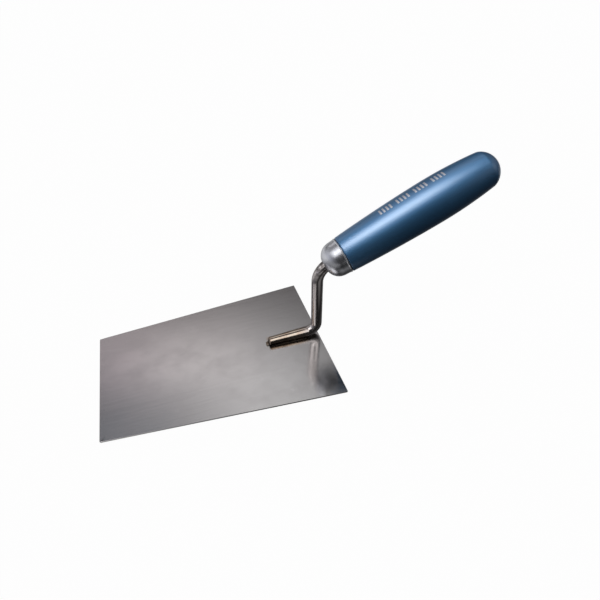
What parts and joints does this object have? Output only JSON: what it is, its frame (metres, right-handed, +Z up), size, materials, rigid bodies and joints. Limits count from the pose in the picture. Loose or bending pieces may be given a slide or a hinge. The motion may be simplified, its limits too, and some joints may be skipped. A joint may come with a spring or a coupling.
{
  "type": "hand trowel",
  "caption": "Hand trowel with a flat trapezoid steel blade, a bent round steel neck, a domed metal ferrule and a turned, lacquered wooden handle; spreads and smooths mortar.",
  "frame": {"origin": "centre of the blade's flat underside, halfway along its length", "axes": "+X from the blade's narrow front edge towards the handle, +Z up from the blade towards the handle, +Y to the right of a person who holds the handle and looks along the blade at its front edge; the tool is symmetric about y = 0"},
  "size_m": [0.3162, 0.1318, 0.1471],
  "materials": {
    "blade_steel": "ground and half polished, fine lines along the blade",
    "neck_steel": "polished, with a warm heat tint on the foot",
    "weld_steel": "cleaned weld bead",
    "ferrule_steel": "satin plated",
    "handle_lacquer": "turned wood under a glossy metallic blue lacquer"
  },
  "bodies": {
    "root": {"blade": "blade_steel", "neck": "neck_steel", "weld_left": "weld_steel", "weld_right": "weld_steel", "weld_toe": "weld_steel", "ferrule": "ferrule_steel", "handle": "handle_lacquer"}
  },
  "joints": []
}
